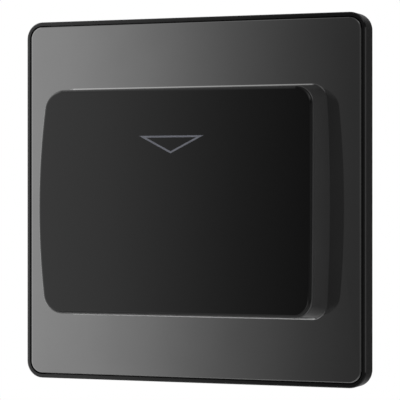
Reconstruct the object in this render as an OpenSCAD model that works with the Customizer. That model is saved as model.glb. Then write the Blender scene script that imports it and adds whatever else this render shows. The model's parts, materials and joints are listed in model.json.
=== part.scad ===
// Hotel key card switch: a square wall plate with a raised hood that takes a key card from above.
// The card swings a lever, and the lever closes a snap-action switch in the housing behind the wall.
// Working frame: x to the right, y up, z out of the wall, with z = 0 on the wall.
// on_wall() stands it up, so that z is up and the front faces -y.

/* [Wall frame] */
// Width and height of the wall frame, which is square
frame_w = 86; // [84:0.5:92]
// Radius of the wall frame's corners
frame_r = 4; // [3:0.1:8]
// Thickness of the web that lies on the wall
web_t = 1.6; // [1.4:0.1:2.2]
// Thickness of the rim round the front plate
rim_t = 0.75; // [0.6:0.05:1.3]
// Bevel on the outer front edge of the rim
rim_edge = 0.25; // [0.1:0.05:0.5]
// Distance between the two wall screws
fix_pitch = 60.3; // [60:0.1:62]
// Width of the slots for the wall screws
fix_slot_w = 4; // [3.6:0.1:4.6]
// Length of the slots for the wall screws
fix_slot_l = 7; // [6:0.5:8]
// Depth of the recess that the rear housing stands in
housing_seat = 0.5; // [0.3:0.1:0.8]

/* [Front plate] */
// Gap between the rim and the front plate
plate_gap = 0.3; // [0.2:0.05:0.6]
// Thickness of the metal front plate
plate_t = 1.5; // [1:0.1:2]
// Height of the front plate above the rim
plate_proud = 0.05; // [0.05:0.05:0.8]
// Radius on the front edge of the plate
plate_edge = 0.45; // [0.2:0.05:0.7]
// Thickness of the liner that carries the plate
liner_t = 1.6; // [1.4:0.1:2.2]
// Air between the web and the liner
tray_gap = 0.35; // [0.25:0.05:0.6]
// Diameter of the liner's push-fit pegs
peg_d = 4; // [3:0.1:4.6]
// Length of the liner's push-fit pegs
peg_l = 5.5; // [4:0.5:7]

/* [Card hood] */
// Width of the hood at mid-height, on the plate
hood_w = 68.8; // [67.5:0.1:74]
// Height of the hood on the plate
hood_h = 54.3; // [52:0.1:60]
// Height of the hood's centre above the centre of the plate
hood_y = -0.4; // [-2:0.1:1]
// Bow of each side of the hood between its ends
hood_bow = 0.85; // [0.3:0.05:1.5]
// Radius of the hood's corners on the plate
foot_r = 3.5; // [3:0.1:5]
// Radius of the hood's corners at its front
hood_r = 4.25; // [3.5:0.05:6]
// Thickness of the hood's wall
hood_wall = 1.8; // [1.5:0.1:2.2]
// Inward lean of each side of the hood
side_draft = 0.2; // [0.1:0.05:0.6]
// Inward lean of the top and the bottom of the hood
end_draft = 0.75; // [0.3:0.05:1.2]
// Radius on the front edge of the hood
hood_edge = 0.2; // [0.1:0.05:0.6]
// Bevel along the foot of the hood's top and bottom
hood_foot = 0.3; // [0.1:0.05:0.5]
// Height of the panel's highest line above the plate
hood_rise = 12.1; // [11:0.05:13]
// Radius of the crowned front
crown_r = 157; // [140:1:220]
// Height of the crown's highest line above the centre of the plate
crown_y = -3; // [-6:0.5:2]

/* [Front panel] */
// Height of the panel above the hood's front edge
panel_proud = 0.8; // [0.6:0.05:1.2]
// Distance of the panel's side from the hood's front outline
panel_inset = 0.25; // [0.2:0.05:0.6]
// Radius on the front edge of the panel
panel_edge = 0.6; // [0.2:0.05:0.7]
// Depth of the panel inside the hood's opening
spigot_l = 1.2; // [0.8:0.1:1.5]
// Width of the arrow mark
arrow_w = 16.1; // [10:0.1:22]
// Height of the arrow mark
arrow_h = 4.1; // [3:0.1:8]
// Height of the arrow's upper line above the centre of the plate
arrow_y = 14.85; // [10:0.05:18]
// Sideways place of the arrow
arrow_x = -0.4; // [-2:0.1:2]
// Width of the arrow's line
arrow_line = 0.42; // [0.3:0.02:0.7]
// Depth of the arrow in the panel
arrow_depth = 0.5; // [0.3:0.05:0.7]

/* [Card guide] */
// Width of the key card
card_w = 54; // [52:0.1:54.4]
// Thickness of the guide's back wall
guide_t = 1.25; // [1:0.05:1.4]
// Depth of the card slot, from its back to its front
slot_d = 4.4; // [4.2:0.1:4.7]
// Width of the grooves that the card's edges run in
groove_t = 1.5; // [1.1:0.1:2]
// Depth of the grooves past the card's edge
groove_in = 1.5; // [1:0.1:2.2]

/* [Rear housing] */
// Width of the housing behind the wall
housing_w = 50; // [45:0.5:51]
// Height of the housing
housing_h = 62; // [56:0.5:64]
// Depth of the housing behind the wall
housing_d = 21; // [20:0.5:26]
// Thickness of the housing's walls
housing_wall = 1.6; // [1.3:0.1:1.8]
// Radius of the housing's corners
housing_r = 3; // [2:0.5:5]

/* [Card lever] */
// Height of the lever's pivot above the centre of the plate
pivot_y = 3; // [2.5:0.1:3.4]
// Depth of the lever's pivot behind the wall
pivot_depth = 3; // [2.8:0.1:3.4]
// Diameter of the pivot pin
pin_d = 2.5; // [2:0.1:3]
// Radius of the lever's hub
hub_r = 2.7; // [2.4:0.1:2.9]
// Length of the lever's hub
hub_l = 18; // [16:0.5:18.5]
// Width of the lever's arm and nose
lever_w = 8; // [6:0.5:9]
// Thickness of the lever's arm
lever_t = 3; // [2.4:0.1:3.4]
// Height of the nose's tip above the centre of the plate
nose_y = -13.4; // [-14.5:0.1:-12.5]
// Distance of the nose's tip from the front of the card slot
nose_gap = 0.9; // [0.6:0.1:1.4]
// Distance of the switch's plunger behind the pivot
tail_arm = 7.15; // [6.8:0.05:7.5]
// Swing of the lever in degrees
lever_travel = 10; // [8:0.5:10]
// Outer diameter of the return spring
spring_d = 5.4; // [4.6:0.1:6]
// Thickness of the return spring's wire
spring_wire = 0.5; // [0.4:0.05:0.6]
// Number of curls of the return spring
spring_curls = 6; // [4:1:8]

/* [Snap switch] */
// Length of the switch
switch_l = 27.8; // [27.4:0.1:28.4]
// Height of the switch
switch_h = 15.9; // [15.5:0.1:16.4]
// Thickness of the switch
switch_t = 10.3; // [9.6:0.1:11]
// Thickness of the switch's walls
switch_wall = 1.4; // [1.2:0.1:1.6]
// Diameter of the plunger
plunger_d = 3.2; // [2.6:0.1:3.4]
// Sideways place of the plunger
plunger_x = 3.6; // [3:0.1:4]
// Thickness of the contact blade
blade_t = 0.4; // [0.3:0.05:0.5]
// Width of the blade and the tabs
tab_w = 4; // [3:0.1:5]

/* [Terminals] */
// Distance between neighbouring terminals
terminal_pitch = 9.8; // [9.2:0.1:12]
// Width of a terminal block
terminal_w = 8.5; // [7.5:0.1:8.6]
// Length of a terminal block along the wire
terminal_l = 11; // [10:0.1:11.2]
// Depth of a terminal block
terminal_t = 9.5; // [9:0.1:10]
// Diameter of the wire hole
bore_d = 4.2; // [3.6:0.1:4.6]
// Depth of the wire hole
bore_l = 9; // [8:0.1:9.4]
// Diameter of the clamping screws
screw_d = 3.5; // [3:0.1:4]
// Thickness of the copper straps
strap_t = 0.8; // [0.5:0.1:0.9]

/* [Fits] */
// Clearance between pieces that are fitted together
seat_gap = 0.15; // [0.1:0.01:0.2]
// Clearance between moving pieces
run_gap = 0.3; // [0.25:0.01:0.4]
// Clearance of a pin or a plunger in its hole
pin_gap = 0.05; // [0.03:0.01:0.08]

/* [Hidden] */
$fn = 64;

// Levels of the stack, out from the wall
liner_z = web_t + tray_gap;
plate_back = liner_z + liner_t;
plate_z = plate_back + plate_t;
rim_z = plate_z - plate_proud;
channel_z = plate_z + guide_t;
channel_front = channel_z + slot_d;
card_z = (channel_z + channel_front) / 2;
crown_z = plate_z + hood_rise;

// Overrun of a cut past a face, and depth that joined shapes sink into each other
cut = 1;
sink = 0.2;

// Outline of the plate, the hood and the panel
plate_w = frame_w - 2 * (rim_t + plate_gap);
plate_r = frame_r - rim_t - plate_gap;
liner_inset = 0.3;
liner_w = plate_w - 2 * liner_inset;
head_room = 2.4;
hood_a = hood_w / 2;
hood_b = hood_h / 2;
hood_top = hood_y + hood_b;
shell_a = hood_a - side_draft;
shell_b = hood_b - end_draft;
glue_gap = 0.03;
arc_steps = 8;
side_steps = 20;

// Places of the push-fit pegs, the hood's screws and the guide's pegs
socket_r = 3.4;
socket_gap = 0.6;
peg_x = housing_w / 2 + socket_gap + socket_r;
peg_y = 13;
peg_tip = 0.6;
boss_in = 1.1;
boss_drop = 6.2;
boss_x = hood_a - hood_wall - boss_in;
boss_y = hood_b - boss_drop;
boss_r = 2.1;
boss_l = 6;
boss_roof = 1;
hood_screw_d = 2.2;
hood_head_d = 4.4;
hood_head_t = 1.4;
guide_peg_x = 20;
guide_peg_y = 6;
guide_peg_d = 3;

// Card guide and the card slot's lead-in
card_play = 0.35;
guide_side = 0.9;
guide_foot = 2.2;
stop_h = 1.5;
groove_x = card_w / 2 + card_play;
rail_x = card_w / 2 - groove_in;
guide_x = groove_x + guide_side;
rail_w = guide_x - rail_x;
guide_top = hood_top - hood_wall - end_draft;
guide_bottom = hood_y - hood_b + hood_wall + guide_foot;
stop_y = guide_bottom + stop_h;
lead_in = 0.6;
lead_h = 1.4;
slot_reach = 6;

// Lever
pivot_z = -pivot_depth;
arm_front = housing_seat - run_gap;
arm_back = arm_front - lever_t;
heel_drop = 3.6;
arm_bottom = nose_y - heel_drop;
arm_top = pivot_y - run_gap * 2;
root_drop = 7;
root_top = pivot_y - root_drop;
nose_r = 0.8;
nose_z = channel_front - nose_gap - nose_r;
tail_in = 2;
tail_w = hub_l - 2 * tail_in;
tail_t = 2.8;
tail_end = 1.3;
pad_r = 1.2;
pad_y = pivot_y + hub_r;
window_gap = 0.6;
window_w = lever_w + 2 * window_gap;
window_top = root_top + window_gap;
window_bottom = arm_bottom - 2 * window_gap;

// Return spring
spring_drop = 12;
spring_y = pivot_y - spring_drop;
spring_l = 10;
spring_r = (spring_d - spring_wire) / 2;
spring_back = arm_back - spring_l;
spring_seat = 0.8;
nub_gap = 0.7;
nub_l = 1.5;
nub_d = spring_d - 2 * (spring_wire + nub_gap);

// Switch
plunger_z = pivot_z - tail_arm;
plunger_tip = pad_y + pad_r + seat_gap;
plunger_out = 1.5;
case_y = plunger_tip + plunger_out;
case_top = case_y + switch_h;
case_back = plunger_z - switch_t / 2;
case_front = plunger_z + switch_t / 2;
case_base = 1.6;
case_floor = case_back + case_base;
cover_t = 1.2;
eye_d = 3.1;
eye_r = 2.8;
eye_x = switch_l / 2 - eye_r;
eye_y = case_top - eye_r;
flange_gap = 0.1;
flange_in = 0.7;
flange_t = 1.2;
flange_y = case_y + switch_wall + flange_gap;
head_r = 0.7;
head_l = 0.6;
head_y = flange_y + flange_t + head_l;
plunger_stroke = tail_arm * sin(lever_travel) + hub_r * (cos(lever_travel) - 1);
common_t = 1.2;
common_gap = 0.5;
common_x = 2 * eye_r + common_gap - switch_l / 2;
blade_y = head_y + seat_gap;
blade_x = common_x + common_t + sink;
bead_r = 0.5;
blade_gap = 0.5;
blade_end = switch_l / 2 - switch_wall - blade_gap;
blade_swing = atan(plunger_stroke / (plunger_x - blade_x));
contact_r = 1.5;
contact_h = 0.6;
contact_in = 0.3;
contact_gap = 0.1;
contact_x = blade_end - contact_r - contact_in;
contact_lift = (contact_x + contact_r - blade_x) * tan(blade_swing) + contact_gap;
fixed_y = blade_y + blade_t + contact_h + contact_lift;
rest_w = 2;
tab_t = 0.8;
open_reach = 2.6;
open_x = contact_x - contact_r - open_reach;

// Housing, terminals and straps
floor_z = -housing_d + housing_wall;
post_r = 2.3;
tower_r = 3.2;
tower_x = housing_w / 2 - housing_wall - run_gap - post_r;
tower_y = housing_h / 2 - housing_wall - run_gap - post_r;
tower_z = -6;
body_screw_d = 2.5;
body_head_d = 4.6;
body_head_t = 1.8;
head_seat = -12;
ledge = 1.4;
inner_bottom = housing_wall - housing_h / 2;
block_gap = 0.2;
block_back = floor_z + ledge;
block_front = block_back + terminal_t;
block_bottom = inner_bottom + block_gap;
block_top = block_bottom + terminal_l;
rib_t = terminal_pitch - terminal_w - 2 * seat_gap;
row_x = terminal_pitch + terminal_w / 2 + seat_gap;
access_gap = 0.45;
press_gap = 0.02;
bore_wall = 1;
bore_z = block_front - bore_wall - bore_d / 2;
clamp_rise = 5;
clamp_y = block_bottom + clamp_rise;
clamp_head_d = 5.4;
clamp_head_t = 2;
strap_room = 0.8;
strap_foot = 0.5;
strap_x = switch_l / 2 + run_gap;
tab_top = housing_h / 2 - housing_wall - strap_room;
ear_x = hub_l / 2 + run_gap;
ear_t = 2.5;
ear_r = 2.4;

// Earth strip and the window that it passes through
strip_t = 0.5;
strip_foot = 3;
strip_lip = 3.6;
strip_rise = 5.4;
earth_y = block_bottom + strip_rise;

// Cross recesses of the small screws
recess_w = 0.7;
recess_l = 2.6;
recess_t = 0.8;

// Height of the crowned front at height y
function crown(y) = crown_z - crown_r + sqrt(pow(crown_r, 2) - pow(y - crown_y, 2));

// Right half of a rounded outline with bowed sides, from the bottom up
function half_outline(a, b, r) = [
  for (p = concat(
    [for (i = [0:arc_steps]) [a - r + r * sin(90 * i / arc_steps), r - b - r * cos(90 * i / arc_steps)]],
    [for (i = [1:side_steps - 1]) [a, (r - b) * (1 - 2 * i / side_steps)]],
    [for (i = [0:arc_steps]) [a - r + r * cos(90 * i / arc_steps), b - r + r * sin(90 * i / arc_steps)]]))
  [p[0] * (1 - hood_bow / a * pow(p[1] / b, 2)), p[1] + hood_y]
];

// Closed ring of points round the hood, inset from the given outline, at the heights that lift gives
function ring(a, b, r, inset, lift) =
  let (half = half_outline(a - inset, b - inset, max(r - inset, 0.6)))
  concat(
    [for (p = half) [p[0], p[1], lift(p[1])]],
    [for (i = [len(half) - 1:-1:0]) [-half[i][0], half[i][1], lift(half[i][1])]]);

// Faces between a ring that starts at point a and the next one at point b
function band(a, b, n) = [
  for (i = [0:n - 1])
    let (j = (i + 1) % n)
    each [[a + i, b + j, a + j], [a + i, b + i, b + j]]
];

// Direction from the centre c to the point where a line from p touches the circle, on the side that s gives
function touch(p, c, r, s) = atan2(p[1] - c[1], p[0] - c[0]) + s * acos(r / norm(p - c));

// Corners of the arrow, inset by t
function arrow_points(t) =
  let (
    pts = [[arrow_x - arrow_w / 2, arrow_y], [arrow_x, arrow_y - arrow_h], [arrow_x + arrow_w / 2, arrow_y]],
    leg = norm([arrow_w / 2, arrow_h]),
    in_r = arrow_w * arrow_h / (arrow_w + 2 * leg),
    mid = [arrow_x, arrow_y - in_r])
  [for (p = pts) mid + (p - mid) * (1 - t / in_r)];

module on_wall() {
  rotate([90, 0, 0]) children();
}

// Extrudes a side view, drawn with z across and y up, to both sides of x = 0
module side_view(w) {
  rotate([0, -90, 0]) linear_extrude(w, center = true) children();
}

module rounded(w, h, r) {
  square([w - 2 * r, h], center = true);
  square([w, h - 2 * r], center = true);
  for (sx = [-1, 1], sy = [-1, 1])
    translate([sx * (w / 2 - r), sy * (h / 2 - r)]) circle(r);
}

// Slot with round ends, lying along x
module slot(l, w) {
  square([l - w, w], center = true);
  for (s = [-1, 1])
    translate([s * (l - w) / 2, 0]) circle(d = w);
}

module slab(w, h, r, z0, z1) {
  translate([0, 0, z0]) linear_extrude(z1 - z0) rounded(w, h, r);
}

module box(x0, x1, y0, y1, z0, z1) {
  translate([x0, y0, z0]) cube([x1 - x0, y1 - y0, z1 - z0]);
}

module rod(x, y, d, z0, z1) {
  translate([x, y, z0]) cylinder(d = d, h = z1 - z0);
}

// Sweeps a profile round a rounded square; the profile's x runs out from the centre of the corners
module round_square(w, r) {
  for (k = [0:3])
    rotate(90 * k) {
      translate([w / 2 - r, w / 2 - r, 0]) rotate_extrude(angle = 90) children();
      translate([w / 2 - r, 0, 0]) rotate([90, 0, 0]) linear_extrude(w - 2 * r, center = true) children();
    }
}

// Solid through a list of rings, closed by level strips across both ends
module loft(rings) {
  n = len(rings[0]);
  last = (len(rings) - 1) * n;
  ends = [for (i = [0:n / 2 - 2]) each [
    [i, i + 1, n - 2 - i, n - 1 - i],
    [last + n - 1 - i, last + n - 2 - i, last + i + 1, last + i]]];
  sides = [for (k = [0:len(rings) - 2]) each band(k * n, (k + 1) * n, n)];
  polyhedron([for (r = rings) each r], concat(ends, sides), convexity = 6);
}

// Ring-shaped solid through a list of rings that closes on itself
module loop(rings) {
  n = len(rings[0]);
  count = len(rings);
  sides = [for (k = [0:count - 1]) each band(k * n, ((k + 1) % count) * n, n)];
  polyhedron([for (r = rings) each r], sides, convexity = 8);
}

// Cylinder of the crowned front, set back by t
module crown_body(t) {
  translate([0, crown_y, crown_z - crown_r])
    rotate([0, 90, 0]) cylinder(r = crown_r - t, h = hood_w, center = true, $fn = 360);
}

module arrow_prism() {
  translate([0, 0, channel_front])
    linear_extrude(crown_z - channel_front + cut)
      difference() {
        polygon(arrow_points(0));
        polygon(arrow_points(arrow_line));
      }
}

module lever_window(z0, z1) {
  box(-window_w / 2, window_w / 2, window_bottom, window_top, z0, z1);
}

module earth_window(z0, z1) {
  side = tab_w / 2 + window_gap;
  box(-side, side, earth_y - window_gap, earth_y + strip_lip + window_gap, z0, z1);
}

// Cross recess cut up into a screw's head from the level z
module cross_recess(z) {
  for (turn = [0, 90])
    rotate(turn) box(-recess_l / 2, recess_l / 2, -recess_w / 2, recess_w / 2, z - cut, z + recess_t);
}

module at_pegs() {
  for (sx = [-1, 1], sy = [-1, 1])
    translate([sx * peg_x, sy * peg_y, 0]) children();
}

module at_bosses() {
  for (sx = [-1, 1], sy = [-1, 1])
    translate([sx * boss_x, hood_y + sy * boss_y, 0]) children();
}

module at_guide_pegs() {
  for (sx = [-1, 1])
    translate([sx * guide_peg_x, guide_peg_y, 0]) children();
}

module at_towers() {
  for (sx = [-1, 1], sy = [-1, 1])
    translate([sx * tower_x, sy * tower_y, 0]) children();
}

module at_eyes() {
  for (sx = [-1, 1])
    translate([sx * eye_x, eye_y, 0]) children();
}

// Wall frame: a web on the wall, a rim round the plate, sockets for the liner and posts for the housing
module mounting_frame() {
  color([0.06, 0.06, 0.065])
    difference() {
      union() {
        slab(frame_w - 2 * rim_t, frame_w - 2 * rim_t, frame_r - rim_t, 0, web_t);
        round_square(frame_w, frame_r)
          polygon([[frame_r - rim_t - sink, 0], [frame_r, 0], [frame_r, rim_z - rim_edge],
            [frame_r - rim_edge, rim_z], [frame_r - rim_t, rim_z], [frame_r - rim_t, web_t],
            [frame_r - rim_t - sink, web_t]]);
        at_pegs() rod(0, 0, 2 * socket_r, liner_z - peg_l + peg_tip, liner_z);
      }
      slab(housing_w + 2 * seat_gap, housing_h + 2 * seat_gap, housing_r, -cut, housing_seat);
      at_pegs() rod(0, 0, peg_d + 2 * pin_gap, -peg_l, liner_z + cut);
      for (sx = [-1, 1])
        translate([sx * fix_pitch / 2, 0, -cut])
          linear_extrude(web_t + 2 * cut) slot(fix_slot_l, fix_slot_w);
      lever_window(-cut, web_t + cut);
      earth_window(-cut, web_t + cut);
    }
  color([0.06, 0.06, 0.065])
    at_towers()
      difference() {
        rod(0, 0, 2 * post_r, tower_z, housing_seat + sink);
        rod(0, 0, body_screw_d, tower_z - cut, -sink);
      }
}

// Rear housing: a cup behind the wall with seats for the lever, the switch and the terminals
module rear_housing() {
  color([0.12, 0.12, 0.13])
    difference() {
      union() {
        difference() {
          slab(housing_w, housing_h, housing_r, -housing_d, housing_seat);
          slab(housing_w - 2 * housing_wall, housing_h - 2 * housing_wall, housing_r - housing_wall,
            floor_z, cut);
        }
        at_towers() rod(0, 0, 2 * tower_r, floor_z - sink, tower_z);
        for (s = [-1, 1])
          translate([s * (ear_x + ear_t / 2), 0, 0])
            side_view(ear_t) {
              translate([pivot_z, pivot_y]) circle(ear_r);
              translate([floor_z - sink, pivot_y - ear_r]) square([pivot_z - floor_z + sink, 2 * ear_r]);
            }
        at_eyes() rod(0, 0, 2 * (eye_r + run_gap), floor_z - sink, case_back);
        at_eyes() rod(0, 0, eye_d - 2 * pin_gap, case_back - cut, case_front - sink);
        rod(0, spring_y, spring_d + 2 * spring_seat, floor_z - sink, spring_back);
        rod(0, spring_y, nub_d, spring_back - cut, spring_back + nub_l);
        box(-row_x - rib_t, row_x + rib_t, inner_bottom - sink, block_top + ledge,
          floor_z - sink, block_back);
        for (s = [-1, 1], side = [terminal_w / 2 + seat_gap, row_x])
          translate([s * (side + rib_t / 2), 0, 0])
            box(-rib_t / 2, rib_t / 2, inner_bottom - sink, block_top - cut,
              block_back - sink, block_front - cut);
      }
      at_towers() rod(0, 0, body_screw_d + 2 * seat_gap, -housing_d - cut, tower_z + cut);
      at_towers() rod(0, 0, body_head_d + 4 * seat_gap, -housing_d - cut, head_seat);
      for (s = [-1, 1])
        translate([s * (ear_x + ear_t / 2), 0, 0])
          side_view(ear_t + cut) translate([pivot_z, pivot_y]) circle(d = pin_d + press_gap);
      for (k = [-1:1]) {
        rod(k * terminal_pitch, clamp_y, clamp_head_d + 2 * access_gap, -housing_d - cut, block_back + sink);
        translate([k * terminal_pitch, block_bottom + sink, bore_z])
          rotate([90, 0, 0]) cylinder(d = bore_d + 2 * access_gap, h = housing_wall + 2 * cut);
      }
    }
}

// Four screws that hold the rear housing to the frame
module housing_screws() {
  color([0.75, 0.75, 0.77])
    at_towers()
      difference() {
        union() {
          rod(0, 0, body_screw_d, head_seat - sink, -2 * sink);
          rod(0, 0, body_head_d, head_seat - body_head_t, head_seat);
        }
        cross_recess(head_seat - body_head_t);
      }
}

// Polished metal front plate
module front_plate() {
  profile = concat(
    [[0, plate_back], [plate_r, plate_back]],
    [for (i = [0:4]) [
      plate_r - plate_edge + plate_edge * cos(22.5 * i),
      plate_z - plate_edge + plate_edge * sin(22.5 * i)]],
    [[0, plate_z]]);
  color([0.3, 0.3, 0.31])
    difference() {
      union() {
        round_square(plate_w, plate_r) polygon(profile);
        slab(plate_w - 2 * plate_r + sink, plate_w - 2 * plate_r + sink, sink / 4, plate_back, plate_z);
      }
      lever_window(plate_back - cut, plate_z + cut);
      at_bosses() rod(0, 0, hood_screw_d + 2 * seat_gap, plate_back - cut, plate_z + cut);
      at_guide_pegs() rod(0, 0, guide_peg_d + 2 * pin_gap, plate_back - cut, plate_z + cut);
    }
}

// Moulded liner behind the plate, with the pegs that push into the frame
module plate_liner() {
  color([0.1, 0.1, 0.105])
    difference() {
      union() {
        slab(liner_w, liner_w, plate_r - liner_inset, liner_z, plate_back);
        at_pegs() {
          rod(0, 0, peg_d, liner_z - peg_l + peg_tip, liner_z + sink);
          translate([0, 0, liner_z - peg_l]) cylinder(d1 = peg_d - 2 * peg_tip, d2 = peg_d, h = peg_tip);
        }
      }
      lever_window(liner_z - cut, plate_back + cut);
      at_bosses() rod(0, 0, hood_head_d + 2 * access_gap, liner_z - cut, plate_back + cut);
      at_guide_pegs() rod(0, 0, guide_peg_d + 2 * pin_gap, liner_z - cut, plate_back + cut);
      for (sx = [-1, 1])
        translate([sx * fix_pitch / 2, 0, liner_z - cut])
          linear_extrude(liner_t + 2 * cut)
            rounded(fix_slot_l + 2 * head_room, fix_slot_w + 2 * head_room, head_room);
      earth_window(liner_z - cut, plate_back + cut);
    }
}

// Hood shell, with the card slot in its top and four bosses inside
module card_hood() {
  flat = function(y) plate_z;
  foot = function(y) plate_z + hood_foot;
  front = function(y) crown(y) - panel_proud;
  shoulder = [for (i = [0:4]) let (turn = 22.5 * i)
    ring(shell_a, shell_b, hood_r, hood_edge * (1 - cos(turn)),
      function(y) front(y) - hood_edge * (1 - sin(turn)))];
  color([0.16, 0.16, 0.165])
    difference() {
      union() {
        loop(concat(
          [ring(hood_a, hood_b, foot_r, 0, flat),
            ring(hood_a, hood_b - hood_foot, foot_r, 0, foot)],
          shoulder,
          [ring(shell_a, shell_b, hood_r, hood_wall, front),
            ring(shell_a, shell_b, hood_r, hood_wall, flat)]));
        at_bosses() rod(0, 0, 2 * boss_r, plate_z, plate_z + boss_l);
      }
      at_bosses() rod(0, 0, hood_screw_d, plate_z - cut, plate_z + boss_l - boss_roof);
      side_view(2 * groove_x)
        polygon([[channel_z, hood_top - slot_reach], [channel_front, hood_top - slot_reach],
          [channel_front, hood_top - lead_h], [channel_front + lead_in, hood_top + cut],
          [channel_z, hood_top + cut]]);
    }
}

// Crowned gloss panel on the front of the hood
module hood_panel() {
  back = function(y) crown(y) - panel_proud + glue_gap;
  edge = [for (i = [0:4]) let (turn = 22.5 * i)
    ring(shell_a, shell_b, hood_r, panel_inset + panel_edge * (1 - cos(turn)),
      function(y) crown(y) - panel_edge * (1 - sin(turn)))];
  rib = hood_wall + seat_gap;
  low = function(y) crown(y) - panel_proud - spigot_l;
  color([0.02, 0.02, 0.022])
    difference() {
      loft(concat(
        [ring(shell_a, shell_b, hood_r, rib, low), ring(shell_a, shell_b, hood_r, rib, back),
          ring(shell_a, shell_b, hood_r, panel_inset, back)],
        edge));
      difference() {
        arrow_prism();
        crown_body(arrow_depth);
      }
    }
}

// Arrow that shows where the card goes, let into the panel
module arrow_mark() {
  color([0.5, 0.51, 0.55])
    difference() {
      intersection() {
        arrow_prism();
        crown_body(0);
      }
      crown_body(arrow_depth);
    }
}

// Guide behind the hood: a back wall, two grooved rails and a stop
module card_guide() {
  color([0.05, 0.05, 0.055])
    difference() {
      union() {
        box(-guide_x, guide_x, guide_bottom, guide_top, plate_z, channel_z);
        for (s = [-1, 1])
          translate([s * (rail_x + guide_x) / 2, 0, 0])
            box(-rail_w / 2, rail_w / 2, guide_bottom, guide_top, channel_z - sink, channel_front);
        box(-guide_x, guide_x, guide_bottom, stop_y, channel_z - sink, channel_front);
        at_guide_pegs() rod(0, 0, guide_peg_d, liner_z + sink, plate_z + sink);
      }
      box(-groove_x, groove_x, stop_y, guide_top + cut, card_z - groove_t / 2, card_z + groove_t / 2);
      lever_window(plate_z - cut, channel_z + cut);
    }
}

// Four screws that hold the hood to the plate
module hood_screws() {
  color([0.75, 0.75, 0.77])
    at_bosses()
      difference() {
        union() {
          rod(0, 0, hood_screw_d, plate_back - sink, plate_z + boss_l - boss_roof - run_gap);
          rod(0, 0, hood_head_d, plate_back - hood_head_t, plate_back);
        }
        cross_recess(plate_back - hood_head_t);
      }
}

// Card lever: a hub on the pin, a nose in the card's way and a tail under the switch
module card_lever() {
  root = [arm_front, root_top];
  heel = [arm_front, arm_bottom];
  tip = [nose_z, nose_y];
  high = touch(root, tip, nose_r, -1);
  low = touch(heel, tip, nose_r, 1);
  color([0.85, 0.84, 0.8])
    difference() {
      union() {
        side_view(hub_l) translate([pivot_z, pivot_y]) circle(hub_r);
        side_view(lever_w) {
          translate([arm_back, arm_bottom]) square([lever_t, arm_top - arm_bottom]);
          polygon(concat(
            [[arm_front - cut, root_top], root],
            [for (i = [0:arc_steps])
              let (turn = high + (low - high) * i / arc_steps)
              tip + nose_r * [cos(turn), sin(turn)]],
            [heel, [arm_front - cut, arm_bottom]]));
        }
        side_view(tail_w) {
          translate([plunger_z - tail_end, pivot_y - tail_t / 2]) square([tail_arm + tail_end, tail_t]);
          translate([plunger_z - pad_r, pivot_y]) square([2 * pad_r, hub_r]);
          translate([plunger_z, pad_y]) circle(pad_r);
        }
        rod(0, spring_y, nub_d, arm_back - nub_l, arm_back + sink);
      }
      side_view(hub_l + cut) translate([pivot_z, pivot_y]) circle(d = pin_d + 2 * pin_gap);
    }
}

// Steel pin that the lever turns on
module lever_pin() {
  color([0.72, 0.72, 0.74])
    side_view(2 * (ear_x + ear_t)) translate([pivot_z, pivot_y]) circle(d = pin_d);
}

// Coil spring between the housing and the lever, with a closed curl at each end
module return_spring() {
  length = arm_back - spring_back - spring_wire;
  per_curl = 8;
  steps = per_curl * (spring_curls + 2);
  rise = [for (i = [0:steps])
    let (t = i / per_curl, u = min(max((t - 1) / spring_curls, 0), 1))
    spring_wire * 1.25 * (min(t, 1) + max(t - spring_curls - 1, 0)) + u * (length - 2.5 * spring_wire)];
  points = [for (i = [0:steps], k = [0:5])
    let (turn = 360 * i / per_curl, r = spring_r + spring_wire / 2 * cos(60 * k))
    [r * cos(turn), spring_y + r * sin(turn), spring_back + rise[i] + spring_wire / 2 * (1 + sin(60 * k))]];
  sides = [for (i = [0:steps - 1]) each band(6 * i, 6 * (i + 1), 6)];
  ends = [[0, 1, 2, 3, 4, 5], [for (k = [5:-1:0]) 6 * steps + k]];
  flip = [for (f = concat(sides, ends)) [for (k = [len(f) - 1:-1:0]) f[k]]];
  color([0.7, 0.7, 0.73]) polyhedron(points, flip, convexity = 10);
}

// Switch case, open at the front
module switch_case() {
  color([0.13, 0.13, 0.14])
    difference() {
      union() {
        difference() {
          box(-switch_l / 2, switch_l / 2, case_y, case_top, case_back, case_front - cover_t);
          box(switch_wall - switch_l / 2, switch_l / 2 - switch_wall,
            case_y + switch_wall, case_top - switch_wall, case_floor, case_front);
        }
        at_eyes() rod(0, 0, 2 * eye_r, case_back + sink, case_front - cover_t);
        box(contact_x - rest_w / 2, contact_x + rest_w / 2,
          case_y + switch_wall - sink, blade_y - contact_gap, case_floor - sink, plunger_z + tab_w / 2);
      }
      at_eyes() rod(0, 0, eye_d, case_back - cut, case_front);
      translate([plunger_x, case_y - cut, plunger_z])
        rotate([-90, 0, 0]) cylinder(d = plunger_d + 2 * pin_gap, h = switch_wall + 2 * cut);
      for (side = [[common_x, common_t], [open_x, tab_t]])
        box(side[0], side[0] + side[1], case_top - switch_wall - cut, case_top + cut,
          plunger_z - tab_w / 2, plunger_z + tab_w / 2);
    }
}

// Cover that closes the switch case
module switch_cover() {
  color([0.17, 0.17, 0.18])
    difference() {
      box(-switch_l / 2, switch_l / 2, case_y, case_top, case_front - cover_t, case_front);
      at_eyes() rod(0, 0, eye_d, case_back, case_front + cut);
    }
}

// Plunger that the lever's tail lifts
module switch_plunger() {
  color([0.62, 0.08, 0.07])
    translate([plunger_x, 0, plunger_z])
      rotate([-90, 0, 0]) {
        translate([0, 0, plunger_tip]) cylinder(d = plunger_d, h = flange_y - plunger_tip + sink);
        translate([0, 0, flange_y]) cylinder(d = plunger_d + 2 * flange_in, h = flange_t);
        translate([0, 0, flange_y]) cylinder(r = head_r, h = head_y - flange_y);
      }
}

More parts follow.
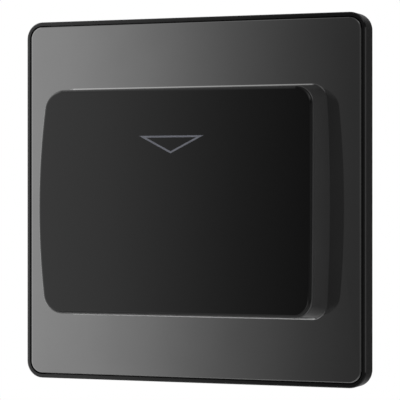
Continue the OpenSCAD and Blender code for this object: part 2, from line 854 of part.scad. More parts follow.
// Contact blade, with a bead at its end that turns in the common tab
module contact_blade() {
  color([0.78, 0.56, 0.3])
    translate([0, 0, plunger_z - tab_w / 2 + seat_gap])
      linear_extrude(tab_w - 2 * seat_gap) {
        translate([blade_x, blade_y + blade_t / 2]) circle(bead_r);
        translate([blade_x, blade_y]) square([blade_end - blade_x, blade_t]);
      }
}

// Silver contact on the blade
module moving_contact() {
  color([0.85, 0.85, 0.84])
    translate([contact_x, blade_y + blade_t, plunger_z])
      rotate([-90, 0, 0]) cylinder(r = contact_r, h = contact_h);
}

// Common tab, with the notch that the blade turns in
module common_tab() {
  color([0.8, 0.65, 0.35])
    difference() {
      box(common_x, common_x + common_t, case_y + switch_wall, tab_top,
        plunger_z - tab_w / 2, plunger_z + tab_w / 2);
      translate([blade_x, blade_y + blade_t / 2, plunger_z])
        cylinder(r = bead_r + pin_gap, h = tab_w + cut, center = true);
    }
}

// Open tab, which the blade reaches when the lever is pressed
module open_tab() {
  color([0.8, 0.65, 0.35])
    translate([0, 0, plunger_z - tab_w / 2])
      linear_extrude(tab_w)
        polygon([[open_x, fixed_y + contact_h], [blade_end, fixed_y + contact_h],
          [blade_end, fixed_y + contact_h + tab_t], [open_x + tab_t, fixed_y + contact_h + tab_t],
          [open_x + tab_t, tab_top], [open_x, tab_top]]);
}

// Silver contact on the open tab
module fixed_contact() {
  color([0.85, 0.85, 0.84])
    translate([contact_x, fixed_y, plunger_z])
      rotate([-90, 0, 0]) cylinder(r = contact_r, h = contact_h);
}

// Brass block with a wire hole from below and a clamping screw from behind
module terminal(k) {
  color([0.83, 0.68, 0.36])
    difference() {
      translate([k * terminal_pitch, 0, 0])
        box(-terminal_w / 2, terminal_w / 2, block_bottom, block_top, block_back, block_front);
      translate([k * terminal_pitch, block_bottom + bore_l, bore_z])
        rotate([90, 0, 0]) cylinder(d = bore_d, h = bore_l + cut);
      rod(k * terminal_pitch, clamp_y, screw_d, block_back - cut, bore_z);
    }
}

module line_terminal() {
  terminal(-1);
}

module load_terminal() {
  terminal(1);
}

module earth_terminal() {
  terminal(0);
}

// Slotted clamping screws of the three terminals
module terminal_screws() {
  tip = bore_z - bore_d / 2 - sink;
  color([0.78, 0.74, 0.62])
    for (k = [-1:1])
      difference() {
        union() {
          rod(k * terminal_pitch, clamp_y, screw_d, block_back - sink, tip);
          rod(k * terminal_pitch, clamp_y, clamp_head_d, block_back - clamp_head_t, block_back);
        }
        translate([k * terminal_pitch, clamp_y, block_back - clamp_head_t])
          box(-clamp_head_d, clamp_head_d, -recess_w / 2, recess_w / 2, -cut, recess_t);
      }
}

// Copper strap from a switch tab down to a terminal, drawn on the right
module strap(tab_x) {
  foot = terminal_pitch + strap_foot;
  color([0.72, 0.42, 0.26])
    translate([0, 0, plunger_z - tab_w / 2])
      linear_extrude(tab_w)
        polygon([[tab_x, tab_top], [strap_x + strap_t, tab_top], [strap_x + strap_t, block_top],
          [foot, block_top], [foot, block_top + strap_t], [strap_x, block_top + strap_t],
          [strap_x, tab_top - strap_t], [tab_x, tab_top - strap_t]]);
}

module line_strap() {
  mirror([1, 0, 0]) strap(-common_x);
}

module load_strap() {
  strap(open_x + tab_t);
}

// Spring strip that earths the metal plate
module earth_spring() {
  color([0.76, 0.6, 0.34])
    side_view(tab_w)
      polygon([[block_front, earth_y - strip_foot], [block_front, earth_y + strip_t],
        [plate_back - strip_t, earth_y + strip_t], [plate_back - strip_t, earth_y + strip_lip],
        [plate_back, earth_y + strip_lip], [plate_back, earth_y], [block_front + strip_t, earth_y],
        [block_front + strip_t, earth_y - strip_foot]]);
}

on_wall() mounting_frame();
on_wall() rear_housing();
on_wall() housing_screws();
on_wall() front_plate();
on_wall() plate_liner();
on_wall() card_hood();
on_wall() hood_panel();
on_wall() arrow_mark();
on_wall() card_guide();
on_wall() hood_screws();
on_wall() card_lever();
on_wall() lever_pin();
on_wall() return_spring();
on_wall() switch_case();
on_wall() switch_cover();
on_wall() switch_plunger();
on_wall() contact_blade();
on_wall() moving_contact();
on_wall() common_tab();
on_wall() open_tab();
on_wall() fixed_contact();
on_wall() line_terminal();
on_wall() load_terminal();
on_wall() earth_terminal();
on_wall() terminal_screws();
on_wall() line_strap();
on_wall() load_strap();
on_wall() earth_spring();
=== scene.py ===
import json
import math

import bmesh
import bpy
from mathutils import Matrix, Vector


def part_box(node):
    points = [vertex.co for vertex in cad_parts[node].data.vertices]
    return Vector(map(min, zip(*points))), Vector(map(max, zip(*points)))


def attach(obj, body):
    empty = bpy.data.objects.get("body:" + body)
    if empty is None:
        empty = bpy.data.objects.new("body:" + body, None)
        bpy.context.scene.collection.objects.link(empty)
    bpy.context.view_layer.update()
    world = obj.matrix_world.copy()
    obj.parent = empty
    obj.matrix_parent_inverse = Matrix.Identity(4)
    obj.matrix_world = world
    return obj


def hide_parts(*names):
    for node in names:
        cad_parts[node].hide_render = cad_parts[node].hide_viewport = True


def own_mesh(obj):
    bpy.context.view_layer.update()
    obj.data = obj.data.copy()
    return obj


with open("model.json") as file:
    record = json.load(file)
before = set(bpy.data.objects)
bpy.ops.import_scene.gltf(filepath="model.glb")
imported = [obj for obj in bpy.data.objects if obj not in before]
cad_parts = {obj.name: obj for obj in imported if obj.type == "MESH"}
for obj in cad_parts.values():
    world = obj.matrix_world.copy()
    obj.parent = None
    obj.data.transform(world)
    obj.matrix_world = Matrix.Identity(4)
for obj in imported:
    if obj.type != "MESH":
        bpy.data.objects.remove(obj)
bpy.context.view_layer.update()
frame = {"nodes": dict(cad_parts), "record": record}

# Finished pieces, studio and camera for a hotel key card switch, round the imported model.
# Lengths are in millimetres unless a comment says otherwise. x is to the right, y up and z out of the wall.
# Places come from the frame, and wall_point turns a point into the frame's metres.

NODES = frame["nodes"]
RECORD = frame["record"]
MM = 0.001

# Hood: bow of its sides, corner radii on the plate and at the front, least radius of an inset outline,
# wall, rounded front edge, draft of the sides and of the ends, and bevelled foot
HOOD_BOW = 0.85
FOOT_R = 3.5
HOOD_R = 4.25
LEAST_R = 0.6
HOOD_WALL = 1.8
HOOD_EDGE = 0.2
SIDE_DRAFT = 0.2
END_DRAFT = 0.75
FOOT = 0.3

# Crown of the front, and the panel that has it
CROWN_R = 157.0
CROWN_Y = -3.0
PANEL_PROUD = 0.8
PANEL_INSET = 0.25
PANEL_EDGE = 0.6
SPIGOT = 1.2
GLUE_GAP = 0.03
SEAT_GAP = 0.15

# Card slot in the top of the hood, the bosses for its screws, and how far a cut starts outside the surface
SLOT_X = 27.35
SLOT_BACK = 6.3
SLOT_FRONT = 10.7
SLOT_REACH = 6.0
LEAD_IN = 0.6
LEAD_H = 1.4
BOSS_X = 31.5
BOSS_Y = 20.95
BOSS_R = 2.1
BOSS_L = 6.0
BORE_R = 1.1
BORE_L = 5.0
CUT = 1.0

# Rim of the frame: corner radius, outer bevel, width, how far its inner edge leans over the gap to the plate,
# and the margin by which that edge is told from the bevel
FRAME_R = 4.0
RIM_EDGE = 0.25
RIM_T = 0.75
RIM_LEAN = 0.13
RIM_MARGIN = 0.03

# Arrow mark: width of its line, and how far it stands above and reaches below the panel's crown
ARROW_LINE = 0.42
ARROW_LIFT = 0.02
ARROW_DEPTH = 0.5

# Return spring: wire, number of open curls, and rise of a closed curl in widths of the wire
SPRING_WIRE = 0.5
SPRING_CURLS = 6
CLOSED_RISE = 1.25

# Steps of the smooth outlines, fillets and rounds
ARC_STEPS = 18
SIDE_STEPS = 64
FILLET_STEPS = 8
ROD_STEPS = 40
ARROW_STEPS = 12
CURL_STEPS = 40
WIRE_STEPS = 12

# Turns in degrees: an edge that turns more than the first is shaded sharp, or on an eased copy more than the
# second, and one that turns more than the third is eased
SHARP_TURN = 40
EASED_TURN = 50
HARD_TURN = 30

# Copies of CAD nodes: points that are closer in metres are one point, faces that turn less in radians are one
# face, and an eased edge has this many faces on this profile
WELD = 1e-7
FLAT_TURN = 0.0005
EASED_FACES = 2
ROUND_PROFILE = 0.5

# Width by which the hard edges of each copy are eased; at 0 they stay as the source has them
EASED = {
    "mounting_frame": 0.0, "rear_housing": 0.25, "housing_screws": 0.12, "front_plate": 0.0,
    "plate_liner": 0.15, "card_guide": 0.15, "hood_screws": 0.12, "card_lever": 0.2, "lever_pin": 0.15,
    "switch_case": 0.2, "switch_cover": 0.2, "switch_plunger": 0.15, "contact_blade": 0.05,
    "moving_contact": 0.12, "common_tab": 0.1, "open_tab": 0.1, "fixed_contact": 0.12,
    "line_terminal": 0.25, "load_terminal": 0.25, "earth_terminal": 0.25, "terminal_screws": 0.15,
    "line_strap": 0.1, "load_strap": 0.1, "earth_spring": 0.1,
}


def wall_point(x, y, z):
    """A point given in millimetres, with z out of the wall, in the frame's metres."""
    return Vector((x, -z, y)) * MM


def node_box(node):
    """Lowest and highest x, y and z of a CAD node in millimetres, with z out of the wall."""
    low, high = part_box(node)
    return (low.x / MM, low.z / MM, -high.y / MM), (high.x / MM, high.z / MM, -low.y / MM)


def add_object(name, bm):
    """Makes an object of a finished mesh and shades it smooth between its sharp edges."""
    mesh = bpy.data.meshes.new(name)
    bmesh.ops.recalc_face_normals(bm, faces=bm.faces)
    bm.to_mesh(mesh)
    bm.free()
    obj = bpy.data.objects.new(name, mesh)
    bpy.context.scene.collection.objects.link(obj)
    shade(obj)
    return obj


def shade(obj, sharp=SHARP_TURN):
    """Smooth shading, with a sharp edge where two faces meet at more than the given turn in degrees."""
    obj.data.shade_smooth()
    bm = bmesh.new()
    bm.from_mesh(obj.data)
    for edge in bm.edges:
        edge.smooth = edge.calc_face_angle(0) < math.radians(sharp)
    bm.to_mesh(obj.data)
    bm.free()


def weight_normals(obj):
    """Keeps flat faces flat where they run into small rounded edges."""
    weighted = obj.modifiers.new("weighted_normals", "WEIGHTED_NORMAL")
    weighted.keep_sharp = True


def set_material(obj, material):
    obj.data.materials.clear()
    obj.data.materials.append(material)


# Materials

# Noise of the materials: detail, how many fine grains make a broad one, the range that is used, and the depth
# of the relief
FINE_DETAIL = 3.0
BROAD_DETAIL = 4.0
BROAD_GRAINS = 40
NOISE_LOW = 0.3
NOISE_HIGH = 0.7
RELIEF_DEPTH = 0.05

# Painted highlight on the hood's foot, bright metal on bevels facing up or down: its grey, the height over
# which it fades, and how much of a face's direction is up or down where it starts and where it is full
FOOT_HIGHLIGHT_GREY = 0.75
FOOT_HIGHLIGHT_FADE = 0.05
FOOT_HIGHLIGHT_START = 0.45
FOOT_HIGHLIGHT_FULL = 0.68


def grey(level, tint=1.0):
    return (level, level, level * tint)


def surface(name, dark, light, roughness, grain, bump, metallic=0.0, stretch=(1, 1, 1)):
    """Material whose colour, gloss and relief vary with a noise of the given grain in millimetres."""
    material = bpy.data.materials.new(name)
    material.use_nodes = True
    nodes = material.node_tree.nodes
    link = material.node_tree.links.new
    shader = nodes["Principled BSDF"]
    shader.inputs["Metallic"].default_value = metallic

    place = nodes.new("ShaderNodeTexCoord")
    spread = nodes.new("ShaderNodeMapping")
    spread.inputs["Scale"].default_value = stretch
    link(place.outputs["Object"], spread.inputs["Vector"])

    fine = nodes.new("ShaderNodeTexNoise")
    fine.inputs["Scale"].default_value = 1 / (grain * MM)
    fine.inputs["Detail"].default_value = FINE_DETAIL
    link(spread.outputs["Vector"], fine.inputs["Vector"])

    broad = nodes.new("ShaderNodeTexNoise")
    broad.inputs["Scale"].default_value = 1 / (BROAD_GRAINS * grain * MM)
    broad.inputs["Detail"].default_value = BROAD_DETAIL
    link(spread.outputs["Vector"], broad.inputs["Vector"])

    tone = nodes.new("ShaderNodeValToRGB")
    tone.name = "tone"
    tone.color_ramp.elements[0].position = NOISE_LOW
    tone.color_ramp.elements[0].color = (*dark, 1)
    tone.color_ramp.elements[1].position = NOISE_HIGH
    tone.color_ramp.elements[1].color = (*light, 1)
    link(broad.outputs["Fac"], tone.inputs["Fac"])
    link(tone.outputs["Color"], shader.inputs["Base Color"])

    gloss = nodes.new("ShaderNodeMapRange")
    gloss.inputs["From Min"].default_value = NOISE_LOW
    gloss.inputs["From Max"].default_value = NOISE_HIGH
    gloss.inputs["To Min"].default_value = roughness[0]
    gloss.inputs["To Max"].default_value = roughness[1]
    link(fine.outputs["Fac"], gloss.inputs["Value"])
    link(gloss.outputs["Result"], shader.inputs["Roughness"])

    relief = nodes.new("ShaderNodeBump")
    relief.inputs["Strength"].default_value = bump
    relief.inputs["Distance"].default_value = RELIEF_DEPTH * MM
    link(fine.outputs["Fac"], relief.inputs["Height"])
    link(relief.outputs["Normal"], shader.inputs["Normal"])
    return material


def paint_foot_highlight(material, height, bright):
    """Painted highlight line: lacquer turned bright metal on the top and bottom bevels below the given
    height.
    """
    nodes = material.node_tree.nodes
    link = material.node_tree.links.new
    shader = nodes["Principled BSDF"]

    place = nodes.new("ShaderNodeTexCoord")
    depth = nodes.new("ShaderNodeSeparateXYZ")
    link(place.outputs["Object"], depth.inputs["Vector"])
    low = nodes.new("ShaderNodeMapRange")
    low.inputs["From Min"].default_value = -(height + FOOT_HIGHLIGHT_FADE) * MM
    low.inputs["From Max"].default_value = -height * MM
    link(depth.outputs["Y"], low.inputs["Value"])

    # Only faces turned up or down take the painted highlight
    shape = nodes.new("ShaderNodeNewGeometry")
    facing = nodes.new("ShaderNodeSeparateXYZ")
    link(shape.outputs["Normal"], facing.inputs["Vector"])
    upright = nodes.new("ShaderNodeMath")
    upright.operation = "ABSOLUTE"
    link(facing.outputs["Z"], upright.inputs[0])
    level = nodes.new("ShaderNodeMapRange")
    level.inputs["From Min"].default_value = FOOT_HIGHLIGHT_START
    level.inputs["From Max"].default_value = FOOT_HIGHLIGHT_FULL
    link(upright.outputs[0], level.inputs["Value"])

    share = nodes.new("ShaderNodeMath")
    share.operation = "MULTIPLY"
    link(low.outputs["Result"], share.inputs[0])
    link(level.outputs["Result"], share.inputs[1])
    foot_highlight = nodes.new("ShaderNodeMix")
    foot_highlight.data_type = "RGBA"
    foot_highlight.inputs["B"].default_value = (*bright, 1)
    link(share.outputs[0], foot_highlight.inputs["Factor"])
    link(nodes["tone"].outputs["Color"], foot_highlight.inputs["A"])
    link(foot_highlight.outputs["Result"], shader.inputs["Base Color"])
    metal = nodes.new("ShaderNodeMapRange")
    metal.inputs["To Min"].default_value = shader.inputs["Metallic"].default_value
    link(share.outputs[0], metal.inputs["Value"])
    link(metal.outputs["Result"], shader.inputs["Metallic"])


LOOKS = {
    "black_chrome": dict(dark=grey(0.236), light=grey(0.25), roughness=(0.03, 0.05),
                         grain=0.4, bump=0.003, metallic=1.0),
    "hood_dark": dict(dark=grey(0.12), light=grey(0.14), roughness=(0.06, 0.1),
                      grain=0.4, bump=0.004, metallic=0.5),
    "frame_black": dict(dark=grey(0.003), light=grey(0.005, 1.05), roughness=(0.07, 0.11),
                        grain=0.25, bump=0.02),
    "panel_black": dict(dark=grey(0.0004), light=grey(0.0008, 1.05), roughness=(0.02, 0.035),
                        grain=0.6, bump=0.001),
    "mark_grey": dict(dark=(0.19, 0.196, 0.232), light=(0.225, 0.232, 0.272), roughness=(0.3, 0.4),
                      grain=0.08, bump=0.05),
    "inner_black": dict(dark=grey(0.018), light=grey(0.026, 1.05), roughness=(0.42, 0.55),
                        grain=0.15, bump=0.25),
    "housing_grey": dict(dark=grey(0.05), light=grey(0.07, 1.05), roughness=(0.45, 0.6),
                         grain=0.18, bump=0.3),
    "lever_ivory": dict(dark=(0.66, 0.64, 0.57), light=(0.74, 0.72, 0.65), roughness=(0.36, 0.46),
                        grain=0.3, bump=0.08),
    "plunger_red": dict(dark=(0.4, 0.022, 0.018), light=(0.5, 0.035, 0.028), roughness=(0.3, 0.4),
                        grain=0.2, bump=0.1),
    "steel": dict(dark=grey(0.48, 1.02), light=grey(0.62, 1.03), roughness=(0.22, 0.38),
                  grain=0.12, bump=0.15, metallic=1.0),
    "brass": dict(dark=(0.62, 0.43, 0.17), light=(0.75, 0.56, 0.26), roughness=(0.2, 0.36),
                  grain=0.15, bump=0.15, metallic=1.0, stretch=(1, 1, 6)),
    "copper": dict(dark=(0.6, 0.29, 0.16), light=(0.74, 0.4, 0.24), roughness=(0.22, 0.36),
                   grain=0.12, bump=0.12, metallic=1.0, stretch=(6, 6, 1)),
    "silver": dict(dark=grey(0.74, 0.98), light=grey(0.84, 0.98), roughness=(0.16, 0.26),
                   grain=0.1, bump=0.08, metallic=1.0),
}
MATERIALS = {slot: surface(slot, **look) for slot, look in LOOKS.items()}
SLOT_OF = {part["node"]: part["material_slot"] for part in RECORD["subparts"]}
BODY_OF = {node: body for body, nodes in RECORD["behaviour"]["bodies"].items() for node in nodes}


def stand_for(piece, node):
    """The piece takes the node's place, body and finish."""
    set_material(piece, MATERIALS[SLOT_OF[node]])
    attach(piece, BODY_OF[node])
    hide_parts(node)


def eased_copy(node, edge):
    """Copy of a CAD node whose hard edges are rounded off by the given width in millimetres."""
    bm = bmesh.new()
    bm.from_mesh(NODES[node].data)
    bmesh.ops.remove_doubles(bm, verts=bm.verts, dist=WELD)
    bmesh.ops.dissolve_limit(bm, angle_limit=FLAT_TURN, verts=bm.verts, edges=bm.edges)
    if edge:
        hard = [e for e in bm.edges if e.calc_face_angle(0) > math.radians(HARD_TURN)]
        bmesh.ops.bevel(bm, geom=hard, offset=edge * MM, offset_type="OFFSET", segments=EASED_FACES,
                        profile=ROUND_PROFILE, affect="EDGES", clamp_overlap=True)
    piece = add_object(node + "_finish", bm)
    if edge:
        shade(piece, EASED_TURN)
    weight_normals(piece)
    stand_for(piece, node)
    return piece


# Shapes

def bridge(bm, first, second):
    """Band of faces between two loops of vertices."""
    for i in range(len(first)):
        j = (i + 1) % len(first)
        bm.faces.new((first[i], first[j], second[j], second[i]))


def prism(name, points, shift):
    """Solid between a loop of points and the same loop moved by the shift."""
    bm = bmesh.new()
    first = [bm.verts.new(p) for p in points]
    second = [bm.verts.new(p + shift) for p in points]
    bridge(bm, first, second)
    bm.faces.new(first)
    bm.faces.new(second)
    return add_object(name, bm)


def rod(name, x, y, r, z0, z1):
    """Round rod that stands out from the wall."""
    turns = [2 * math.pi * i / ROD_STEPS for i in range(ROD_STEPS)]
    points = [wall_point(x + r * math.cos(t), y + r * math.sin(t), z0) for t in turns]
    return prism(name, points, wall_point(0, 0, z1 - z0))


def combine(piece, tool, operation):
    """Cuts the tool from the piece, or joins it on, and removes the tool."""
    step = piece.modifiers.new(operation.lower(), "BOOLEAN")
    step.operation = operation
    step.solver = "EXACT"
    step.object = tool
    seen = piece.evaluated_get(bpy.context.evaluated_depsgraph_get())
    old, piece.data = piece.data, bpy.data.meshes.new_from_object(seen)
    piece.modifiers.clear()
    bpy.data.meshes.remove(old)
    bpy.data.objects.remove(tool)


# Hood and panel

hood_low, hood_high = node_box("card_hood")
panel_high = node_box("hood_panel")[1]
HOOD_A = hood_high[0]
HOOD_B = (hood_high[1] - hood_low[1]) / 2
HOOD_Y = (hood_high[1] + hood_low[1]) / 2
HOOD_TOP = hood_high[1]
PLATE_Z = hood_low[2]
CROWN_Z = panel_high[2]
SHELL_A = HOOD_A - SIDE_DRAFT
SHELL_B = HOOD_B - END_DRAFT


def crown(y):
    """Height of the crowned front above the wall at height y."""
    return CROWN_Z - CROWN_R + math.sqrt(CROWN_R ** 2 - (y - CROWN_Y) ** 2)


def hood_front(y):
    """Height of the hood's front edge, which the panel lies on."""
    return crown(y) - PANEL_PROUD


def half_outline(a, b, r):
    """Right half of a rounded outline with bowed sides, from the bottom up."""
    turns = [math.pi / 2 * i / ARC_STEPS for i in range(ARC_STEPS + 1)]
    points = [(a - r + r * math.sin(t), r - b - r * math.cos(t)) for t in turns]
    points += [(a, (r - b) * (1 - 2 * i / SIDE_STEPS)) for i in range(1, SIDE_STEPS)]
    points += [(a - r + r * math.cos(t), b - r + r * math.sin(t)) for t in turns]
    return [(x * (1 - HOOD_BOW / a * (y / b) ** 2), y + HOOD_Y) for x, y in points]


def ring(bm, a, b, r, inset, lift):
    """Closed ring of vertices round the hood, inset from the outline, at the heights that lift gives."""
    half = half_outline(a - inset, b - inset, max(r - inset, LEAST_R))
    points = half + [(-x, y) for x, y in reversed(half)]
    return [bm.verts.new(wall_point(x, y, lift(y))) for x, y in points]


def cap(bm, loop):
    """Closes a ring with level strips from its right half to its left half."""
    n = len(loop)
    for i in range(n // 2 - 1):
        bm.faces.new((loop[i], loop[i + 1], loop[n - 2 - i], loop[n - 1 - i]))


def fillet(bm, inset, edge, front):
    """Rings round a quarter-round edge that ends at the heights that front gives."""
    rings = []
    for i in range(FILLET_STEPS + 1):
        turn = math.pi / 2 * i / FILLET_STEPS
        drop = edge * (1 - math.sin(turn))
        rings.append(ring(bm, SHELL_A, SHELL_B, HOOD_R, inset + edge * (1 - math.cos(turn)),
                          lambda y: front(y) - drop))
    return rings


def card_hood():
    """Shell with a bevelled foot at top and bottom, a card slot in its top, and four screw bosses inside."""
    bm = bmesh.new()
    rings = [ring(bm, HOOD_A, HOOD_B, FOOT_R, 0, lambda y: PLATE_Z),
             ring(bm, HOOD_A, HOOD_B - FOOT, FOOT_R, 0, lambda y: PLATE_Z + FOOT)]
    rings += fillet(bm, 0, HOOD_EDGE, hood_front)
    rings.append(ring(bm, SHELL_A, SHELL_B, HOOD_R, HOOD_WALL, hood_front))
    rings.append(ring(bm, SHELL_A, SHELL_B, HOOD_R, HOOD_WALL, lambda y: PLATE_Z))
    for first, second in zip(rings, rings[1:] + rings[:1]):
        bridge(bm, first, second)
    piece = add_object("hood_shell", bm)

    for x in (-BOSS_X, BOSS_X):
        for y in (HOOD_Y - BOSS_Y, HOOD_Y + BOSS_Y):
            combine(piece, rod("boss", x, y, BOSS_R, PLATE_Z, PLATE_Z + BOSS_L), "UNION")
            combine(piece, rod("bore", x, y, BORE_R, PLATE_Z - CUT, PLATE_Z + BORE_L), "DIFFERENCE")
    bottom = HOOD_TOP - SLOT_REACH
    top = HOOD_TOP + CUT
    section = [(SLOT_BACK, bottom), (SLOT_FRONT, bottom), (SLOT_FRONT, HOOD_TOP - LEAD_H),
               (SLOT_FRONT + LEAD_IN, top), (SLOT_BACK, top)]
    slot = prism("slot", [wall_point(-SLOT_X, y, z) for z, y in section], wall_point(2 * SLOT_X, 0, 0))
    combine(piece, slot, "DIFFERENCE")

    shade(piece)
    weight_normals(piece)
    stand_for(piece, "card_hood")


def hood_panel():
    """Crowned panel with a rounded edge, and behind it a spigot that seats in the hood."""
    def back(y):
        return hood_front(y) + GLUE_GAP

    def spigot_end(y):
        return hood_front(y) - SPIGOT

    bm = bmesh.new()
    rings = [ring(bm, SHELL_A, SHELL_B, HOOD_R, HOOD_WALL + SEAT_GAP, lift) for lift in (spigot_end, back)]
    rings.append(ring(bm, SHELL_A, SHELL_B, HOOD_R, PANEL_INSET, back))
    rings += fillet(bm, PANEL_INSET, PANEL_EDGE, crown)
    for first, second in zip(rings, rings[1:]):
        bridge(bm, first, second)
    cap(bm, rings[0])
    cap(bm, rings[-1])
    piece = add_object("gloss_panel", bm)
    weight_normals(piece)
    stand_for(piece, "hood_panel")


def arrow_mark():
    """Outlined triangle that points down and follows the crown of the panel."""
    low, high = node_box("arrow_mark")
    tip = Vector(((low[0] + high[0]) / 2, low[1]))
    corners = [Vector((low[0], high[1])), tip, Vector((high[0], high[1]))]
    sides = [(corners[i - 2] - corners[i - 1]).length for i in range(3)]
    middle = sum((c * s for c, s in zip(corners, sides)), Vector((0, 0))) / sum(sides)
    area = (high[0] - low[0]) * (high[1] - low[1]) / 2
    shrink = 1 - ARROW_LINE / (2 * area / sum(sides))

    def loop(scale, lift):
        points = []
        for i in range(3):
            start, end = corners[i], corners[(i + 1) % 3]
            points += [start.lerp(end, k / ARROW_STEPS) for k in range(ARROW_STEPS)]
        placed = [middle + (p - middle) * scale for p in points]
        return [bm.verts.new(wall_point(p.x, p.y, crown(p.y) + lift)) for p in placed]

    bm = bmesh.new()
    loops = [loop(1, -ARROW_DEPTH), loop(1, ARROW_LIFT), loop(shrink, ARROW_LIFT), loop(shrink, -ARROW_DEPTH)]
    for first, second in zip(loops, loops[1:] + loops[:1]):
        bridge(bm, first, second)
    piece = add_object("arrow_inlay", bm)
    stand_for(piece, "arrow_mark")


def return_spring():
    """Round wire coil with a closed curl at each end."""
    low, high = node_box("return_spring")
    r = (high[0] - low[0] - SPRING_WIRE) / 2
    centre_y = (high[1] + low[1]) / 2
    rise = high[2] - low[2] - SPRING_WIRE
    closed = CLOSED_RISE * SPRING_WIRE
    bm = bmesh.new()

    def wire_ring(curls):
        """Ring of vertices round the wire after the given number of curls."""
        open_part = min(max((curls - 1) / SPRING_CURLS, 0), 1)
        z = closed * (min(curls, 1) + max(curls - SPRING_CURLS - 1, 0)) + open_part * (rise - 2 * closed)
        turn = 2 * math.pi * curls
        points = []
        for k in range(WIRE_STEPS):
            around = 2 * math.pi * k / WIRE_STEPS
            reach = r + SPRING_WIRE / 2 * math.cos(around)
            height = low[2] + z + SPRING_WIRE / 2 * (1 + math.sin(around))
            points.append(wall_point(reach * math.cos(turn), centre_y + reach * math.sin(turn), height))
        return [bm.verts.new(p) for p in points]

    loops = [wire_ring(i / CURL_STEPS) for i in range(CURL_STEPS * (SPRING_CURLS + 2) + 1)]
    for first, second in zip(loops, loops[1:]):
        bridge(bm, first, second)
    bm.faces.new(loops[0])
    bm.faces.new(loops[-1])
    piece = add_object("coil_spring", bm)
    stand_for(piece, "return_spring")
    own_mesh(piece)


def lean_rim(piece):
    """Moves the front inner edge of the frame's rim towards the plate, which narrows the gap there."""
    high = node_box("mounting_frame")[1]
    straight = high[0] - FRAME_R
    for vertex in piece.data.vertices:
        x, y, z = vertex.co.x / MM, vertex.co.z / MM, -vertex.co.y / MM
        past = Vector((max(abs(x) - straight, 0), max(abs(y) - straight, 0)))
        inset = FRAME_R - past.length
        if z > high[2] - RIM_EDGE / 2 and RIM_EDGE < inset - RIM_MARGIN < RIM_T:
            step = past.normalized() * RIM_LEAN
            vertex.co -= wall_point(math.copysign(step.x, x), math.copysign(step.y, y), 0)


# Painted highlight line along the foot of the hood
paint_foot_highlight(MATERIALS["hood_dark"], PLATE_Z + FOOT, grey(FOOT_HIGHLIGHT_GREY))
card_hood()
hood_panel()
arrow_mark()
return_spring()
eased_pieces = {node: eased_copy(node, edge) for node, edge in EASED.items()}
lean_rim(eased_pieces["mounting_frame"])


# Stage, light and camera

# Light of the studio by the sideways part of its direction, from -1 at the left to 1 at the right.
# In front of the object
FRONT_LIGHT = [(-1, 1.3), (-0.8, 1.45), (-0.6, 1.35), (-0.485, 1.1), (-0.4445, 0.97), (-0.417, 0.8),
               (-0.3915, 0.56), (-0.374, 0.41), (-0.3566, 0.285), (-0.33, 0.165), (-0.308, 0.105),
               (-0.27, 0.09), (-0.16, 0.16), (0.15, 0.16), (0.28, 0.2), (0.38, 0.27), (0.6, 0.12),
               (0.93, 0.12), (0.945, 0.9), (0.965, 0.9), (0.98, 0.2), (1, 0.15)]
# Lower in front, with the same left part up to a start, and a bright middle
CORNER_START = -0.3
CORNER_LIGHT = [stop for stop in FRONT_LIGHT if stop[0] < CORNER_START]
CORNER_LIGHT += [(-0.28, 0.15), (-0.24, 0.9), (-0.1, 0.95), (0.12, 0.6), (0.26, 0.35), (0.375, 0.27),
                 (0.6, 0.2), (1, 0.15)]
# Beside and behind the object, and straight behind it
BACK_LIGHT = [(-1, 1.3), (-0.6, 1.3), (-0.45, 0.5), (-0.38, 0.2), (-0.2, 0.22), (0, 0.15), (0.15, 0.07),
              (0.3, 0.07), (0.6, 0.08), (0.68, 0.3), (0.78, 0.3), (0.83, 0.2), (0.9, 0.1), (0.95, 0.1),
              (1, 0.15)]
BEHIND_LIGHT = [(-1, 0.8), (0.13, 0.8), (0.22, 0.07), (1, 0.07)]
# Above and below
UPPER_LIGHT = [(-1, 1.6), (-0.6, 1.6), (-0.4445, 0.75), (-0.37, 0.5), (-0.335, 0.44), (-0.31, 0.25),
               (-0.28, 0.15), (0.1, 0.2), (0.4, 0.4), (0.6, 0.8), (0.8, 0.9), (1, 0.6)]
LOWER_LIGHT = [(-1, 0.9), (-0.6, 0.9), (-0.43, 1.1), (-0.37, 0.6), (-0.3, 0.5), (-0.2, 0.4), (0, 0.3),
               (1, 0.3)]
# The levels are divided by this to stay below 1, and the background's strength gives it back
LIGHT_STRENGTH = 1.8

# Where one light gives way to the next, by the part of the direction into the wall, Y, or upwards, Z
CORNER_Z = (-0.26, -0.36)
BACK_Y = (-0.2, 0.1)
BEHIND_Y = (0.955, 0.975)
UPPER_Z = (0.45, 0.7)
LOWER_Z = (-0.36, -0.6)

# Camera of the photograph: distance in metres, angle to the right of the front, focal length, image width and
# shift of its centre in pixels, and width of Blender's sensor
CAMERA_DISTANCE = 0.5033
CAMERA_ANGLE = math.radians(22.0)
FOCAL_PIXELS = 2120.3
IMAGE_PIXELS = 400.0
CENTRE_SHIFT_PIXELS = 1.05
SENSOR_MM = 36.0

# Floor: radius and height in metres, share of the radius where it starts to fade, steps of its rim, and paint
FLOOR_R = 0.27
FLOOR_Z = -0.16
FLOOR_FADE = 0.3
FLOOR_STEPS = 96
FLOOR_PAINT = dict(dark=grey(0.92), light=grey(0.95), roughness=(0.6, 0.7), grain=2.0, bump=0.05)


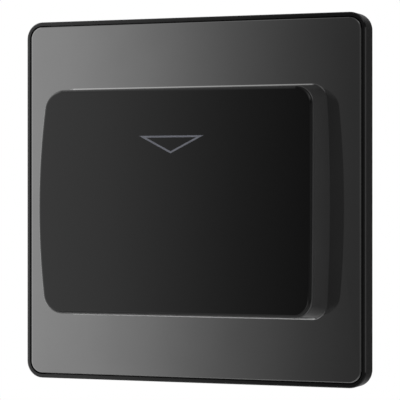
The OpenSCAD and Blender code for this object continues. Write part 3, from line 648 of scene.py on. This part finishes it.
def studio_light(nodes, link):
    """Light of the studio, bright at the left and darker at the right, as the photo's surfaces reflect it."""
    place = nodes.new("ShaderNodeTexCoord")
    axes = nodes.new("ShaderNodeSeparateXYZ")
    link(place.outputs["Generated"], axes.inputs["Vector"])
    across = nodes.new("ShaderNodeMapRange")
    across.inputs["From Min"].default_value = -1.0
    link(axes.outputs["X"], across.inputs["Value"])

    def levels(stops):
        """Light that goes from stop to stop across the studio."""
        band = nodes.new("ShaderNodeValToRGB")
        while len(band.color_ramp.elements) < len(stops):
            band.color_ramp.elements.new(0.5)
        for element, (x, light) in zip(band.color_ramp.elements, stops):
            element.position = (x + 1) / 2
            element.color = (*grey(light / LIGHT_STRENGTH), 1)
        link(across.outputs["Result"], band.inputs["Fac"])
        return band.outputs["Color"]

    def blend(first, second, axis, limits):
        """The first light up to one limit on the axis, the second from the other limit on."""
        share = nodes.new("ShaderNodeMapRange")
        share.interpolation_type = "SMOOTHSTEP"
        share.inputs["From Min"].default_value = limits[0]
        share.inputs["From Max"].default_value = limits[1]
        link(axes.outputs[axis], share.inputs["Value"])
        mix = nodes.new("ShaderNodeMix")
        mix.data_type = "RGBA"
        link(share.outputs["Result"], mix.inputs["Factor"])
        link(first, mix.inputs["A"])
        link(second, mix.inputs["B"])
        return mix.outputs["Result"]

    room = blend(levels(FRONT_LIGHT), levels(CORNER_LIGHT), "Z", CORNER_Z)
    room = blend(room, levels(BACK_LIGHT), "Y", BACK_Y)
    room = blend(room, levels(BEHIND_LIGHT), "Y", BEHIND_Y)
    room = blend(room, levels(UPPER_LIGHT), "Z", UPPER_Z)
    room = blend(room, levels(LOWER_LIGHT), "Z", LOWER_Z)
    lit = nodes.new("ShaderNodeBackground")
    lit.inputs["Strength"].default_value = LIGHT_STRENGTH
    link(room, lit.inputs["Color"])
    return lit.outputs[0]


def studio_world():
    """White for the camera and for rays through clear material, and the studio's light for all others."""
    world = bpy.data.worlds.new("studio")
    world.use_nodes = True
    bpy.context.scene.world = world
    nodes = world.node_tree.nodes
    link = world.node_tree.links.new
    nodes.clear()

    white = nodes.new("ShaderNodeBackground")
    white.inputs["Color"].default_value = (1, 1, 1, 1)
    rays = nodes.new("ShaderNodeLightPath")
    seen = nodes.new("ShaderNodeMath")
    seen.operation = "MAXIMUM"
    link(rays.outputs["Is Camera Ray"], seen.inputs[0])
    link(rays.outputs["Is Transmission Ray"], seen.inputs[1])
    choose = nodes.new("ShaderNodeMixShader")
    link(seen.outputs[0], choose.inputs["Fac"])
    link(studio_light(nodes, link), choose.inputs[1])
    link(white.outputs[0], choose.inputs[2])
    out = nodes.new("ShaderNodeOutputWorld")
    link(choose.outputs[0], out.inputs["Surface"])


def photo_camera():
    """Level camera at the photograph's angle and distance, aimed at the frame's origin."""
    data = bpy.data.cameras.new("photo_camera")
    data.sensor_width = SENSOR_MM
    data.lens = FOCAL_PIXELS * SENSOR_MM / IMAGE_PIXELS
    data.shift_x = CENTRE_SHIFT_PIXELS / IMAGE_PIXELS
    camera = bpy.data.objects.new("photo_camera", data)
    camera.location = CAMERA_DISTANCE * Vector((math.sin(CAMERA_ANGLE), -math.cos(CAMERA_ANGLE), 0))
    camera.rotation_euler = (-camera.location).to_track_quat("-Z", "Y").to_euler()
    bpy.context.scene.collection.objects.link(camera)
    bpy.context.scene.camera = camera


def pale_floor():
    """Pale round floor below the object that fades out towards its rim."""
    bm = bmesh.new()
    bmesh.ops.create_circle(bm, cap_ends=True, segments=FLOOR_STEPS, radius=FLOOR_R)
    bmesh.ops.translate(bm, verts=bm.verts, vec=(0, 0, FLOOR_Z))
    floor = add_object("pale_floor", bm)
    paint = surface("floor_paint", **FLOOR_PAINT)
    nodes = paint.node_tree.nodes
    link = paint.node_tree.links.new
    place = nodes.new("ShaderNodeTexCoord")
    middle = nodes.new("ShaderNodeVectorMath")
    middle.operation = "DISTANCE"
    middle.inputs[1].default_value = (0, 0, FLOOR_Z)
    link(place.outputs["Object"], middle.inputs[0])
    fade = nodes.new("ShaderNodeMapRange")
    fade.interpolation_type = "SMOOTHSTEP"
    fade.inputs["From Min"].default_value = FLOOR_FADE * FLOOR_R
    fade.inputs["From Max"].default_value = FLOOR_R
    fade.inputs["To Min"].default_value = 1.0
    fade.inputs["To Max"].default_value = 0.0
    link(middle.outputs["Value"], fade.inputs["Value"])
    link(fade.outputs["Result"], nodes["Principled BSDF"].inputs["Alpha"])
    set_material(floor, paint)


studio_world()
photo_camera()
pale_floor()
bpy.context.scene.view_settings.view_transform = "Standard"
